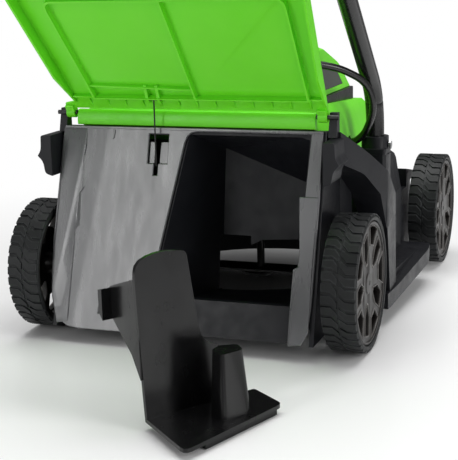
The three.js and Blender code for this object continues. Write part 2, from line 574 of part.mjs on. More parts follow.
// The link runs in line with the crank pins at both ends.
// Between them it passes outboard of the deck and over the front stub.
function heightLink() {
  const rearX = -(REAR.armX + 2.4);
  const frontX = -(FRONT.armX + 2.4);
  const out = -212.6;
  const strip = 3;
  const route = [[rearX, 40], [rearX, 98], [out, 122], [out, 376], [frontX, 392], [frontX, 548]];
  const back = route.map(([x, y]) => [x - strip, y]).toReversed();
  const under = [[40, -5], [462, -5], [474, 25], [508, 25], [520, -5], [548, -5]];
  const over = [[548, 5], [528, 5], [514, 35], [468, 35], [455, 5], [40, 5]];
  const sideShape = prism('yz', [...under, ...over].map(([y, up]) => [y, LINK_Z + up]), -230, -180);
  const body = prism('xy', [...route, ...back], LINK_Z - 6, LINK_Z + 36).intersect(sideShape);
  const holes = [REAR, FRONT].map(({ pivotY }) => bar('x', 2.9, -225, -185, [pivotY, LINK_Z], 10));
  return cut(body, ...holes, bar('x', 2.9, -225, -185, [262, LINK_Z], 10));
}
add('height_link', heightLink(), STEEL);

const LEVER = { y: 262, x: -210 };
const leverSide = [[255, 30, 3], [269, 30, 3], [271, 84], [320, 180], [311, 184], [254, 84]];
const leverPlate = prism('yz', leverSide, LEVER.x - 1.6, LEVER.x + 1.6);
const leverPin = bar('x', 2.5, -216, LEVER.x, [LEVER.y, LINK_Z], 10);
const pivotHole = bar('x', 4.4, -220, -200, [LEVER.y, PIVOT_Z], 12);
add('height_lever', cut(join(leverPlate, leverPin), pivotHole), STEEL);
const pivotShank = bar('x', 4, -214, -206.4, [LEVER.y, PIVOT_Z], 12);
const pivotHead = bar('x', 7, -217, -213.9, [LEVER.y, PIVOT_Z], 6);
add('lever_pivot', join(pivotShank, pivotHead), STEEL);
const knob = bar('x', 12, -226, -204.5, [LEVER.y + 56, 186], 16);
const leverRoom = [[250, 60], [275, 60], [326, 178], [320, 186.4], [306, 188.4]];
add('lever_knob', cut(knob, prism('yz', leverRoom, LEVER.x - 2.1, LEVER.x + 2.1)), BLACK);

function heightRack() {
  const plate = prism('yz', [[216, 112], [312, 112], [312, 136], [264, 144], [216, 136]], -208, -206.3);
  const notches = Array.from({ length: 5 }, (_, i) => {
    const z = i === 2 ? 144 : 141;
    return bar('x', 3, -215, -200, [228 + i * 18, z], 6);
  });
  return cut(plate, ...notches);
}
add('height_rack', heightRack(), STEEL);

// ---- wheels -----------------------------------------------------------------------------------------
const SPOKES = 5;
const half = WHEEL_WIDTH / 2;
const tyreHalf = [[WHEEL_RADIUS, half - 7], [82, half], [RIM_RADIUS + GAP, half - 3]];
const tyreShape = lathe([...tyreHalf.map(([r, z]) => [r, -z]).toReversed(), ...tyreHalf], 32);

function rimShape() {
  const ring = lathe([[61, -half + 4], [RIM_RADIUS, -half + 4], [RIM_RADIUS, half - 4], [61, half - 4]], 24);
  const face = new THREE.Shape(circle(64, 24).getPoints());
  // Each spoke has a short pocket near the ring and a long wedge beside it.
  // Their corners are given as radius and half angle in degrees.
  const pocket = [[45, 7], [58, 14]];
  const wedge = [[25, 5], [40, 16], [58.5, 10]];
  for (let i = 0; i < SPOKES; i += 1) {
    for (const [shape, start] of [[pocket, 21], [wedge, 57]]) {
      const corner = ([radius, wide], side) => {
        const angle = THREE.MathUtils.degToRad(start + (360 * i) / SPOKES + side * wide);
        return new THREE.Vector2(radius, 0).rotateAround(new THREE.Vector2(), angle);
      };
      const oneSide = shape.map((at) => corner(at, -1));
      const otherSide = shape.map((at) => corner(at, 1)).toReversed();
      face.holes.push(new THREE.Path([...oneSide, corner([59.5, 0], 1), ...otherSide]));
    }
  }
  const disc = solid(new THREE.ExtrudeGeometry(face, { depth: 8, bevelEnabled: false }).translate(0, 0, 6));
  const hub = bar('z', 17, -half + 4, 12, [0, 0], 14);
  return cut(join(ring, disc, hub), bar('z', WHEEL_BORE, -40, 40, [0, 0], 12));
}
const rim = rimShape();
const cap = lathe([[0, 14.2], [13, 14.2], [13, 19.5], [9, 21.5], [0, 21.5]], 14);
const WHEEL_PIECES = [['tyre', tyreShape, RUBBER], ['rim', rim, RIM_GREY], ['hub_cap', cap, BLACK]];
for (const [place, { y, wheelX }] of [['rear', REAR], ['front', FRONT]]) {
  for (const [word, side] of SIDES) {
    const wheel = new THREE.Group();
    wheel.position.set(side * wheelX, y, AXLE_Z);
    wheel.rotation.y = (side * Math.PI) / 2;
    for (const [name, body, look] of WHEEL_PIECES) {
      const mesh = new THREE.Mesh(toGeometry(body), new THREE.MeshStandardMaterial(look));
      mesh.name = `${name}_${place}_${word}`;
      wheel.add(mesh);
    }
    mower.add(wheel);
  }
}

// ---- handle -------------------------------------------------------------------------------------------
const CAM_X = 224.6;
const CAM_LEAN = THREE.MathUtils.degToRad(21.6);
const tubeEnd = { y: FOLD.y + HANDLE_DIR.x * 16, z: FOLD.z + HANDLE_DIR.y * 16 };
for (const [word, side] of SIDES) {
  const x = side * HANDLE_X;
  const collar = bar('z', 19, SOCKET.base, SOCKET.top, [x, SOCKET.y], 20);
  const footPlan = [[x - 19, 150], [x + 19, 150], [x + 19, 189], [x - 19, 189]];
  const socket = cut(
    join(collar, prism('xy', footPlan, SOCKET.base, SOCKET.base + 8, 6)),
    bar('z', TUBE + 0.5, SOCKET.base + 4, SOCKET.top + 2, [x, SOCKET.y], 16),
    bar('x', 2.8, ...span(side, HANDLE_X, HANDLE_X + 30), [SOCKET.y, 244], 10),
  );
  add(`handle_socket_${word}`, socket, DECK_BLACK);
  const screw = join(bar('x', 2.4, ...span(side, HANDLE_X + 13, HANDLE_X + 20), [SOCKET.y, 244], 10),
    bar('x', 6, ...span(side, HANDLE_X + 19.4, HANDLE_X + 23), [SOCKET.y, 244], 6));
  add(`socket_screw_${word}`, screw, STEEL);
  const rise = [[x, SOCKET.y, SOCKET.base + 4.6], [x, SOCKET.y, 286]];
  const lower = hollowTube([...rise, [x, HANDLE_KNEE.y, HANDLE_KNEE.z], [x, tubeEnd.y, tubeEnd.z]], 24);
  add(`lower_handle_${word}`, cut(lower, bar('x', 4.5, x - 20, x + 20, [FOLD.y, FOLD.z], 12)), TUBE_BLACK);
  const shank = bar('x', 4, ...span(side, 162, 219), [FOLD.y, FOLD.z], 12);
  const head = bar('x', 7.5, ...span(side, 158.5, 162.5), [FOLD.y, FOLD.z], 6);
  add(`clamp_bolt_${word}`, join(shank, head), STEEL);
  const arm = handed([[-1, 0], [4.5, 0], [5, -66], [0, -68]], side);
  const lever = join(bar('y', 5, -9, 9, [0, 0], 12), prism('xz', arm, -8, 8));
  const seat = new THREE.Matrix4().makeRotationX(CAM_LEAN).setPosition(side * CAM_X, FOLD.y, FOLD.z);
  add(`cam_lever_${word}`, placed(lever, seat), BLACK);
}

const upperStart = onHandle(-16);
const upperTop = onHandle(HANDLE_TOP);
const upperRoute = [[-UPPER_X, upperStart], [-UPPER_X, upperTop], [UPPER_X, upperTop], [UPPER_X, upperStart]];
const upper = hollowTube(upperRoute.map(([x, { y, z }]) => [x, y, z]), 70);
const bailPivot = onHandle(600);
const bailHoles = SIDES.map(([, side]) => bar('x', 3.5, ...span(side, 150, 172), Object.values(bailPivot), 10));
const foldHole = bar('x', 4.5, -UPPER_X - 20, UPPER_X + 20, [FOLD.y, FOLD.z], 12);
add('upper_handle', cut(upper, foldHole, ...bailHoles), TUBE_BLACK);
const gripHole = bar('x', TUBE + 0.6, -110, 110, [upperTop.y, upperTop.z], 16);
const grip = cut(bar('x', 16, -100, 100, [upperTop.y, upperTop.z], 16), gripHole);
add('handle_grip', grip, RUBBER);

const BAIL_X = 144;
function bail() {
  const reach = 85;
  const angle = THREE.MathUtils.degToRad(100);
  const tip = { y: bailPivot.y + reach * Math.cos(angle), z: bailPivot.z + reach * Math.sin(angle) };
  const route = [[-BAIL_X, bailPivot], [-BAIL_X, tip], [BAIL_X, tip], [BAIL_X, bailPivot]];
  return sweep(kneePath(route.map(([x, { y, z }]) => [x, y, z]), 18), 4, 8);
}
const bailEyes = SIDES.map(([, side]) => bar('x', 7, ...span(side, 140, 162), Object.values(bailPivot), 12));
const bailPins = SIDES.map(([, side]) => bar('x', 3, ...span(side, 158, 169), Object.values(bailPivot), 10));
add('bail_lever', join(bail(), ...bailEyes, ...bailPins), STEEL);

// The switch box is drawn upright on the left tube, then leant along the handle.
function onTube(body, distance) {
  const at = onHandle(distance);
  const lean = Math.atan2(HANDLE_DIR.y, HANDLE_DIR.x) - Math.PI / 2;
  return placed(body, new THREE.Matrix4().makeRotationX(lean).setPosition(0, at.y, at.z));
}
const boxShape = cut(
  prism('xz', [[-206, -45], [-148, -45], [-148, 45], [-206, 45]], -20, 26, 12),
  bar('z', TUBE + 0.5, -60, 60, [-UPPER_X, 0], 16),
  prism('xz', [[-186, 6], [-166, 6], [-166, 26], [-186, 26]], -40, -11.5, 0),
);
add('switch_box', onTube(boxShape, 500), BLACK);
const buttonFace = [[-185.4, 6.6], [-166.6, 6.6], [-166.6, 25.4], [-185.4, 25.4]];
add('start_button', onTube(prism('xz', buttonFace, -24, -16.6, 3), 500), GREEN);

// ---- cable --------------------------------------------------------------------------------------------
const alongTube = (distance, x) => [x, onHandle(-distance).y, onHandle(-distance).z];
const fromDeck = [[154, 166, 245], [168, 164, 246], [188, 150, 255], [205, 134, 278], [212, 126, 303]];
const behindLid = [[206, 116, 330], [186, 94, 350], [160, 70, 361], [120, 44, 367], [60, 26, 369], [-60, 22, 370]];
const toLeftTube = [[-140, 30, 371], [-170, 54, 374], [-184, 84, 388]];
const upLeftTube = [alongTube(240, -186.6), alongTube(120, -186.6), alongTube(78, -182), alongTube(52, -168)];
const toFold = [alongTube(30, -155), alongTube(13, -152)];
const acrossFold = [[-150, FOLD.y + 3, FOLD.z - 2.6], [-147, FOLD.y, FOLD.z], [-143, FOLD.y, FOLD.z]];
const lowerRoute = [...fromDeck, ...behindLid, ...toLeftTube, ...upLeftTube, ...toFold, ...acrossFold];
const cableLower = smoothPath(lowerRoute, 50);
add('cable_lower', sweep(cableLower, CABLE, 8), BLACK);
const cableUpper = kneePath([
  alongTube(0, -142.6), alongTube(0, -126), alongTube(-30, -128), alongTube(-100, -152),
  alongTube(-190, -158.4), alongTube(-454, -158.4),
], 13);
add('cable_upper', sweep(cableUpper, CABLE, 8), BLACK);

// ---- mulching plug, standing on the ground behind the mower --------------------------------------------
const PLUG = { x: 65.6, y: -331, turn: THREE.MathUtils.degToRad(55) };

// The grip widens towards its foot about the point its taper is drawn from.
function taperedGrip() {
  const grip = { x: 82, y: -42, foot: 11, top: 86, spread: 0.42 };
  const outlineTop = outline([[64, -58], [93.5, -56], [100, -37], [82, -27], [65, -36]], 5);
  const height = grip.top - grip.foot;
  const drawOut = { depth: height, bevelEnabled: false, curveSegments: 3 };
  const shape = new THREE.ExtrudeGeometry(outlineTop, drawOut);
  const points = shape.attributes.position;
  for (let i = 0; i < points.count; i += 1) {
    const scale = 1 + grip.spread * (1 - points.getZ(i) / height);
    const [x, y, z] = [points.getX(i) - grip.x + 8, points.getY(i) - grip.y, points.getZ(i)];
    points.setXYZ(i, grip.x - 8 + x * scale, grip.y + y * (1 + (scale - 1) * 0.4), z + grip.foot);
  }
  return solid(shape);
}

function mulchPlug() {
  const base = prism('xy', [[0, 0], [-15, -102, 12], [144, -58, 8], [148, 0, 4]], 8, 12.5);
  const flange = prism('xy', [[20, -88], [138, -56], [136, -12], [24, -12]], 0, 10);
  const slopingEdge = [[136, 8], [128, 30, 6], [103, 75, 10], [74, 88, 12], [66.4, 130], [57, 193, 6]];
  const backEdge = [[23, 198, 20], [-8, 190, 20], [-8.7, 165], [-6, 108], [0, 8]];
  const wall = prism('xz', [...slopingEdge, ...backEdge], -5, 0);
  const wing = prism('xy', [[-6, -4], [0, -4], [3, 68], [-1, 68]], 50, 190);
  const wingSide = prism('yz', [[-4, 58], [-4, 172], [66, 148, 6], [64, 121], [60, 113], [15, 82]], -20, 20);
  const tab = prism('yz', [[60, 112], [60, 148], [68, 146], [68, 120]], -14, 1);
  return join(base, flange, wall, wing.intersect(wingSide), tab, taperedGrip());
}
const plug = new THREE.Mesh(toGeometry(mulchPlug()), new THREE.MeshStandardMaterial(BLACK));
plug.name = 'mulch_plug';
plug.position.set(PLUG.x, PLUG.y, 0);
plug.rotation.z = PLUG.turn;
mower.add(plug);

mower.position.y = -ORIGIN_Y;
export default mower;
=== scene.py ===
"""Looks for a battery push mower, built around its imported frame.

Points given to at() and on_handle() are in millimetres; Blender's own lengths are in metres.
"""
import json
import math

import bmesh
import bpy
from mathutils import Matrix, Vector

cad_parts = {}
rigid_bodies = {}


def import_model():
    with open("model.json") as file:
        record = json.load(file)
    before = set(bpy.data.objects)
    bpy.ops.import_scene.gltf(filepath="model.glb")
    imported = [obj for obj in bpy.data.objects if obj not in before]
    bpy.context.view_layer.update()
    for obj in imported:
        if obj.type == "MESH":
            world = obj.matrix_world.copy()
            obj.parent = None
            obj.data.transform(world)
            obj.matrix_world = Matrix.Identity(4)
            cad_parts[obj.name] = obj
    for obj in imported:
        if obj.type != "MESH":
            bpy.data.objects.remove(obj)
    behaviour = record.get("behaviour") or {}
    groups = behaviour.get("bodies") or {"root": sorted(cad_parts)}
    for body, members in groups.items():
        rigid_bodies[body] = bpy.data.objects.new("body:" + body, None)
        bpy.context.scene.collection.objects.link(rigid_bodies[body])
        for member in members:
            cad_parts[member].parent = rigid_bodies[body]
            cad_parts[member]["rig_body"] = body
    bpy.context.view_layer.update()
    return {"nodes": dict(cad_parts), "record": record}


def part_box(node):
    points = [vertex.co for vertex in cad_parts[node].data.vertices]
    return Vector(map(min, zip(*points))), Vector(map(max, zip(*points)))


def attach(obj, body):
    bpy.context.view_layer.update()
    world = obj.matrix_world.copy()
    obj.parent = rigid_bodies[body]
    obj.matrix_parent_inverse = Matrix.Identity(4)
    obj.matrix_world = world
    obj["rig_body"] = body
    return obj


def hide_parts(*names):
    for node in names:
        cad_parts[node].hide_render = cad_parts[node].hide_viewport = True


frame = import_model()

MM = 0.001
NODES = frame["nodes"]


def middle(node):
    low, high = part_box(node)
    return (low + high) / 2


# The mower's own zero is on the ground under the rear axle, so AXLE_Y is where that lies in the row frame.
AXLE_Y = middle("tyre_rear_left").y


def at(x, y, z):
    """A point given in millimetres from the ground under the middle of the rear axle."""
    return Vector((x * MM, AXLE_Y + y * MM, z * MM))


def put_in_scene(piece):
    bpy.context.scene.collection.objects.link(piece)


# ---- camera --------------------------------------------------------------------------------------
CAMERA_AT = at(576, -1441, 493)
CAMERA_YAW, CAMERA_PITCH, CAMERA_ROLL = (math.radians(a) for a in (20.16, 12.61, -1.43))
CAMERA_LENS = 92.8  # millimetres, and so is the sensor
SENSOR_WIDTH = 36


def add_camera():
    ahead = Vector((-math.sin(CAMERA_YAW) * math.cos(CAMERA_PITCH),
                    math.cos(CAMERA_YAW) * math.cos(CAMERA_PITCH), -math.sin(CAMERA_PITCH)))
    level = Vector((math.cos(CAMERA_YAW), math.sin(CAMERA_YAW), 0))
    upright = level.cross(ahead)
    right = level * math.cos(CAMERA_ROLL) + upright * math.sin(CAMERA_ROLL)
    up = upright * math.cos(CAMERA_ROLL) - level * math.sin(CAMERA_ROLL)
    data = bpy.data.cameras.new("studio_camera")
    data.lens = CAMERA_LENS
    data.sensor_width = SENSOR_WIDTH
    camera = bpy.data.objects.new("studio_camera", data)
    turn = Matrix((right, up, -ahead)).transposed().to_4x4()
    camera.matrix_world = Matrix.Translation(CAMERA_AT) @ turn
    put_in_scene(camera)
    bpy.context.scene.camera = camera


add_camera()


# ---- control cable -------------------------------------------------------------------------------
CABLE_RADIUS = 5  # millimetres
FOLD = (-120, 566)  # the fold bolt, backwards and up, in millimetres
HANDLE_WAY = Vector((0, -0.751, 0.660)).normalized()


def on_handle(distance, x, aside=0):
    """A point beside the handle, its distance in millimetres up from the fold bolt."""
    across = Vector((0, -HANDLE_WAY.z, HANDLE_WAY.y))
    return at(x, *FOLD) + (HANDLE_WAY * distance + across * aside) * MM


def add_curve(name, points, radius_mm, smooth=True, rounds=6):
    """A round rod or hose along points of the row frame."""
    data = bpy.data.curves.new(name, "CURVE")
    data.dimensions = "3D"
    data.bevel_depth = radius_mm * MM
    data.bevel_resolution = rounds
    data.use_fill_caps = True
    data.resolution_u = 8 if smooth else 1
    spline = data.splines.new("BEZIER" if smooth else "POLY")
    if smooth:
        spline.bezier_points.add(len(points) - 1)
        for knot, point in zip(spline.bezier_points, points):
            knot.co = point
            knot.handle_left_type = knot.handle_right_type = "AUTO"
    else:
        spline.points.add(len(points) - 1)
        for knot, point in zip(spline.points, points):
            knot.co = (*point, 1)
    piece = bpy.data.objects.new(name, data)
    put_in_scene(piece)
    return piece


LOWER_ROUTE = [at(*p) for p in [
    (154, 166, 245), (168, 164, 246), (188, 150, 255), (205, 134, 278), (212, 126, 303), (206, 116, 330),
    (186, 94, 350), (160, 70, 361), (120, 44, 367), (60, 26, 369), (-60, 22, 370), (-140, 30, 371),
    (-170, 54, 374), (-184, 84, 388),
]] + [on_handle(-240, -186.6), on_handle(-120, -186.6), on_handle(-78, -182), on_handle(-52, -168),
      on_handle(-30, -155), on_handle(-13, -152), on_handle(-2, -149), on_handle(0, -143)]
UPPER_ROUTE = [on_handle(0, -143), on_handle(0, -134), on_handle(8, -128), on_handle(30, -128),
               on_handle(100, -150), on_handle(190, -158.4), on_handle(400, -158.4), on_handle(454, -158.4)]


cable_lower = add_curve("cable_lower_run", LOWER_ROUTE, CABLE_RADIUS)
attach(cable_lower, "deck")
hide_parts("cable_lower")
cable_upper = add_curve("cable_upper_run", UPPER_ROUTE, CABLE_RADIUS)
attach(cable_upper, "upper_handle")
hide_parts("cable_upper")


# ---- studio --------------------------------------------------------------------------------------
def add_light(name, place, aim, size, power):
    data = bpy.data.lights.new(name, "AREA")
    data.shape = "RECTANGLE"
    data.size, data.size_y = size
    data.energy = power
    light = bpy.data.objects.new(name, data)
    light.location = place
    light.rotation_euler = (Vector(aim) - Vector(place)).to_track_quat("-Z", "Y").to_euler()
    put_in_scene(light)


GLOW = 0.24
FLOOR_HALF = 1.7  # half the side of the square floor
FLOOR_SUNK = 0.0005
FLOOR_FADE = (0.35, 1.3)  # where the floor starts and ends its fade, from its middle
LIGHTS_AIM = (0, 0, 0.2)


def add_world():
    """White to the camera, and a weaker glow for everything that the world lights."""
    bpy.context.scene.view_settings.view_transform = "Standard"
    world = bpy.data.worlds.new("studio_world")
    world.use_nodes = True
    tree = world.node_tree
    seen = tree.nodes["Background"]
    seen.inputs["Color"].default_value = (1, 1, 1, 1)
    seen.inputs["Strength"].default_value = 1.0
    glow = tree.nodes.new("ShaderNodeBackground")
    glow.inputs["Color"].default_value = (1, 1, 1, 1)
    glow.inputs["Strength"].default_value = GLOW
    chosen = tree.nodes.new("ShaderNodeMixShader")
    ray = tree.nodes.new("ShaderNodeLightPath")
    tree.links.new(ray.outputs["Is Camera Ray"], chosen.inputs[0])
    tree.links.new(glow.outputs[0], chosen.inputs[1])
    tree.links.new(seen.outputs[0], chosen.inputs[2])
    tree.links.new(chosen.outputs[0], tree.nodes["World Output"].inputs["Surface"])
    bpy.context.scene.world = world


def add_floor():
    """A pale, slightly glossy floor that fades to white away from the mower."""
    bm = bmesh.new()
    bmesh.ops.create_grid(bm, x_segments=1, y_segments=1, size=FLOOR_HALF)
    mesh = bpy.data.meshes.new("studio_floor")
    bm.to_mesh(mesh)
    bm.free()
    floor = bpy.data.objects.new("studio_floor", mesh)
    floor.location.z = -FLOOR_SUNK
    put_in_scene(floor)
    material = bpy.data.materials.new("pale_floor")
    material.use_nodes = True
    tree = material.node_tree
    shader = tree.nodes["Principled BSDF"]
    shader.inputs["Base Color"].default_value = (0.97, 0.97, 0.97, 1)
    shader.inputs["Roughness"].default_value = 0.22
    shader.inputs["Specular IOR Level"].default_value = 0.35
    place = tree.nodes.new("ShaderNodeTexCoord")
    away = tree.nodes.new("ShaderNodeVectorMath")
    away.operation = "LENGTH"
    fade = tree.nodes.new("ShaderNodeMapRange")
    fade.interpolation_type = "SMOOTHSTEP"
    fade.inputs["From Min"].default_value, fade.inputs["From Max"].default_value = FLOOR_FADE
    white = tree.nodes.new("ShaderNodeEmission")
    mix = tree.nodes.new("ShaderNodeMixShader")
    tree.links.new(place.outputs["Object"], away.inputs[0])
    tree.links.new(away.outputs["Value"], fade.inputs["Value"])
    tree.links.new(fade.outputs["Result"], mix.inputs[0])
    tree.links.new(shader.outputs[0], mix.inputs[1])
    tree.links.new(white.outputs[0], mix.inputs[2])
    tree.links.new(mix.outputs[0], tree.nodes["Material Output"].inputs["Surface"])
    mesh.materials.append(material)


add_world()
add_light("softbox_left", (-1.25, -2.7, 1.0), LIGHTS_AIM, (0.5, 1.9), 20)
add_light("softbox_right", (2.6, -0.6, 1.3), LIGHTS_AIM, (1.0, 2.0), 34)
add_light("softbox_top", (0, 0.4, 2.8), LIGHTS_AIM, (2.4, 2.4), 78)
add_floor()


# ---- material helpers ----------------------------------------------------------------------------
def new_group(name, inputs, outputs):
    tree = bpy.data.node_groups.new(name, "ShaderNodeTree")
    for label, kind, value in inputs:
        socket = tree.interface.new_socket(name=label, in_out="INPUT", socket_type=kind)
        socket.default_value = value
    for label, kind in outputs:
        tree.interface.new_socket(name=label, in_out="OUTPUT", socket_type=kind)
    return tree, tree.nodes.new("NodeGroupInput"), tree.nodes.new("NodeGroupOutput")


def feed(tree, socket, value):
    """Links an input to another node's output, or sets it to a plain value."""
    if isinstance(value, bpy.types.NodeSocket):
        tree.links.new(value, socket)
    else:
        socket.default_value = value


def node(tree, kind, settings=None, **inputs):
    """Adds a node. Inputs go by name, with underscores for spaces, or by number as i0, i1 and so on."""
    made = tree.nodes.new(kind)
    for key, value in (settings or {}).items():
        setattr(made, key, value)
    for key, value in inputs.items():
        numbered = key[0] == "i" and key[1:].isdigit()
        feed(tree, made.inputs[int(key[1:]) if numbered else key.replace("_", " ")], value)
    return made


def mix_colour(tree, factor, first, second):
    """The mix node keeps its colours at inputs 6 and 7 and its mixed colour at output 2."""
    return node(tree, "ShaderNodeMix", {"data_type": "RGBA"}, i0=factor, i6=first, i7=second).outputs[2]


def ramp(tree, value, low, high, out_low=0.0, out_high=1.0):
    return node(tree, "ShaderNodeMapRange", Value=value, From_Min=low, From_Max=high, To_Min=out_low,
                To_Max=out_high).outputs[0]


def build_moulding_group():
    """Moulded plastic: slow colour drift, fine grain, gloss that varies, and paler edges that are partly
    rubbed wear and partly a painted highlight.
    """
    tree, given, result = new_group("moulded_surface", [
        ("Colour", "NodeSocketColor", (0.1, 0.1, 0.1, 1)),
        ("Drift Wear And Highlight Colour", "NodeSocketColor", (0.3, 0.3, 0.3, 1)),
        ("Drift", "NodeSocketFloat", 0.1),
        ("Grain Size", "NodeSocketFloat", 900.0),
        ("Gloss Low", "NodeSocketFloat", 0.3),
        ("Gloss High", "NodeSocketFloat", 0.5),
        ("Edge Wear And Highlight", "NodeSocketFloat", 0.3),
        ("Stretch", "NodeSocketVector", (1, 1, 1)),
    ], [("Colour", "NodeSocketColor"), ("Roughness", "NodeSocketFloat"), ("Height", "NodeSocketFloat")])
    place = node(tree, "ShaderNodeTexCoord").outputs["Object"]
    stretched = node(tree, "ShaderNodeVectorMath", {"operation": "MULTIPLY"}, i0=place,
                     i1=given.outputs["Stretch"])
    slow = node(tree, "ShaderNodeTexNoise", Vector=stretched.outputs[0], Scale=9.0, Detail=4.0,
                Roughness=0.55)
    grain = node(tree, "ShaderNodeTexNoise", Vector=place, Scale=given.outputs["Grain Size"], Detail=2.0,
                 Roughness=0.6)
    streak = node(tree, "ShaderNodeTexNoise", Vector=stretched.outputs[0], Scale=42.0, Detail=3.0,
                  Roughness=0.6)
    drift = ramp(tree, slow.outputs["Fac"], 0.3, 0.7)
    drift_amount = node(tree, "ShaderNodeMath", {"operation": "MULTIPLY"}, i0=drift,
                        i1=given.outputs["Drift"])
    drifted = mix_colour(tree, drift_amount.outputs[0], given.outputs["Colour"],
                         given.outputs["Drift Wear And Highlight Colour"])
    rounded = node(tree, "ShaderNodeBevel", {"samples": 4}, Radius=0.0022)
    flat = node(tree, "ShaderNodeNewGeometry").outputs["Normal"]
    agree = node(tree, "ShaderNodeVectorMath", {"operation": "DOT_PRODUCT"}, i0=rounded.outputs[0], i1=flat)
    # Edges found from the bevel normal are paled towards the pale colour: partly rubbed wear, partly a
    # painted highlight along the edges.
    edge = ramp(tree, agree.outputs["Value"], 0.985, 0.86)
    broken = ramp(tree, streak.outputs["Fac"], 0.42, 0.62)
    edge_wear_and_highlight_mask = node(tree, "ShaderNodeMath", {"operation": "MULTIPLY"}, i0=edge, i1=broken)
    edge_wear_and_highlight_mask = node(tree, "ShaderNodeMath", {"operation": "MULTIPLY"}, i0=edge_wear_and_highlight_mask.outputs[0],
                     i1=given.outputs["Edge Wear And Highlight"])
    wear_and_highlight_tone = mix_colour(tree, edge_wear_and_highlight_mask.outputs[0], drifted, given.outputs["Drift Wear And Highlight Colour"])
    tree.links.new(wear_and_highlight_tone, result.inputs["Colour"])
    gloss = ramp(tree, streak.outputs["Fac"], 0.3, 0.7, given.outputs["Gloss Low"],
                 given.outputs["Gloss High"])
    tree.links.new(gloss, result.inputs["Roughness"])
    height = node(tree, "ShaderNodeMath", {"operation": "MULTIPLY_ADD"}, i0=slow.outputs["Fac"], i1=0.35,
                  i2=grain.outputs["Fac"])
    tree.links.new(height.outputs[0], result.inputs["Height"])
    return tree


MOULDED = build_moulding_group()


def moulded_material(name, colour, wear_and_highlight_tone, drift=0.12, grain=900.0, gloss=(0.3, 0.45), wear_and_highlight=0.25, bump=0.05,
                     stretch=(1, 1, 1), metallic=0.0, coat=0.0, specular=0.5):
    material = bpy.data.materials.new(name)
    material.use_nodes = True
    tree = material.node_tree
    shader = tree.nodes["Principled BSDF"]
    shader.inputs["Metallic"].default_value = metallic
    shader.inputs["Coat Weight"].default_value = coat
    shader.inputs["Specular IOR Level"].default_value = specular
    surface = tree.nodes.new("ShaderNodeGroup")
    surface.node_tree = MOULDED
    values = {"Colour": (*colour, 1), "Drift Wear And Highlight Colour": (*wear_and_highlight_tone, 1), "Drift": drift, "Grain Size": grain,
              "Gloss Low": gloss[0], "Gloss High": gloss[1], "Edge Wear And Highlight": wear_and_highlight, "Stretch": stretch}
    for label, value in values.items():
        surface.inputs[label].default_value = value
    tree.links.new(surface.outputs["Colour"], shader.inputs["Base Color"])
    tree.links.new(surface.outputs["Roughness"], shader.inputs["Roughness"])
    relief = node(tree, "ShaderNodeBump", Strength=bump, Distance=0.0006, Height=surface.outputs["Height"])
    tree.links.new(relief.outputs[0], shader.inputs["Normal"])
    return material


LIME = moulded_material("lime_plastic", (0.135, 0.70, 0.008), (0.3, 0.92, 0.09), drift=0.2,
                        gloss=(0.3, 0.42), wear_and_highlight=0.35, specular=0.35)
DECK = moulded_material("deck_plastic", (0.006, 0.0064, 0.0085), (0.04, 0.04, 0.046), drift=0.14,
                        gloss=(0.34, 0.5), bump=0.14, grain=1400.0, specular=0.28)
# The panel's strong drift towards a paler grey, stretched into streaks, is painted sheen that stands in for
# the panel's reflections.
PANEL = moulded_material("panel_plastic", (0.072, 0.072, 0.077), (0.24, 0.24, 0.25), drift=0.3,
                         gloss=(0.24, 0.36), bump=0.05, stretch=(1.8, 1, 0.3), coat=0.25, specular=0.7)
SATIN_BLACK = moulded_material("satin_black_plastic", (0.005, 0.005, 0.0055), (0.035, 0.035, 0.038),
                               drift=0.08, gloss=(0.24, 0.4), bump=0.06, specular=0.35)
PLUG_BLACK = moulded_material("plug_black_plastic", (0.0025, 0.0025, 0.0027), (0.035, 0.035, 0.037),
                              drift=0.1, gloss=(0.16, 0.3), bump=0.05, specular=0.28, stretch=(1, 1, 0.4))
# The strong edge paling on the tyre and rim is largely a painted highlight along the edges of the tread bars
# and spokes.
TYRE = moulded_material("tyre_rubber", (0.004, 0.0046, 0.005), (0.075, 0.08, 0.082), drift=0.18,
                        grain=500.0, gloss=(0.42, 0.6), wear_and_highlight=0.7, bump=0.1, specular=0.28)
RIM = moulded_material("rim_plastic", (0.0105, 0.009, 0.0083), (0.07, 0.064, 0.06), drift=0.12,
                       gloss=(0.3, 0.45), wear_and_highlight=0.7, specular=0.28)
# A paler copy of the rim colour for the window lips: a painted highlight round the rim's openings.
RIM_LIP_HIGHLIGHT = moulded_material("rim_lip_painted_highlight", (0.07, 0.064, 0.06), (0.22, 0.21, 0.2), drift=0.2,
                           gloss=(0.26, 0.4), wear_and_highlight=0.4, specular=0.45)
GRIP = moulded_material("grip_foam", (0.012, 0.012, 0.012), (0.04, 0.04, 0.04), grain=350.0,
                        gloss=(0.7, 0.9), bump=0.5)
TUBE = moulded_material("tube_paint", (0.005, 0.005, 0.0055), (0.06, 0.06, 0.06), grain=2200.0,
                        gloss=(0.2, 0.3), wear_and_highlight=0.15, coat=0.2, bump=0.04, specular=0.35)
CABLE = moulded_material("cable_jacket", (0.005, 0.005, 0.0054), (0.03, 0.03, 0.03), gloss=(0.2, 0.3),
                         wear_and_highlight=0.0)
STEEL = moulded_material("plated_steel", (0.42, 0.42, 0.43), (0.62, 0.62, 0.62), grain=1600.0,
                         gloss=(0.24, 0.42), wear_and_highlight=0.2, metallic=1.0, stretch=(0.3, 3, 3))
BLADE_STEEL = moulded_material("painted_blade_steel", (0.014, 0.015, 0.014), (0.14, 0.14, 0.13),
                               grain=900.0, gloss=(0.3, 0.5), wear_and_highlight=0.6)
WIRE = moulded_material("spring_wire_black", (0.006, 0.006, 0.006), (0.08, 0.08, 0.08), gloss=(0.3, 0.45))
